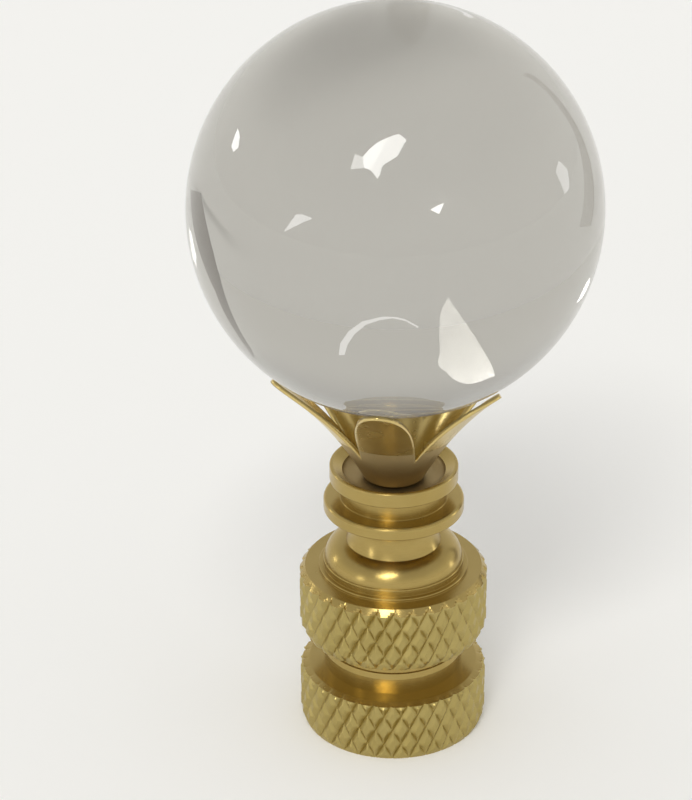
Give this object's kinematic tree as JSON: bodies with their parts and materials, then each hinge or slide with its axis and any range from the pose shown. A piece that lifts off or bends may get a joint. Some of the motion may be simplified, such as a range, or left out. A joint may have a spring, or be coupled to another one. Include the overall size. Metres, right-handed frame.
{
  "type": "lamp shade finial",
  "caption": "Lamp shade finial: a clear glass ball held in a brass petal cup on a turned, diamond-knurled brass base with a tapped hole in its underside.",
  "frame": {"origin": "centre of the base's flat underside, on the axis that the base, cup and ball share", "axes": "+Z along the axis, from the underside up to the ball; +X to the right and -Y towards the viewer as in the picture"},
  "size_m": [0.035, 0.035, 0.0672],
  "materials": {
    "turned_brass": "turned and polished, with satin diamond knurling",
    "stamped_brass": "bright stamped sheet",
    "clear_glass": "clear and polished"
  },
  "bodies": {
    "root": {"knurled_base": "turned_brass", "petal_cup": "stamped_brass", "glass_ball": "clear_glass"}
  },
  "joints": []
}
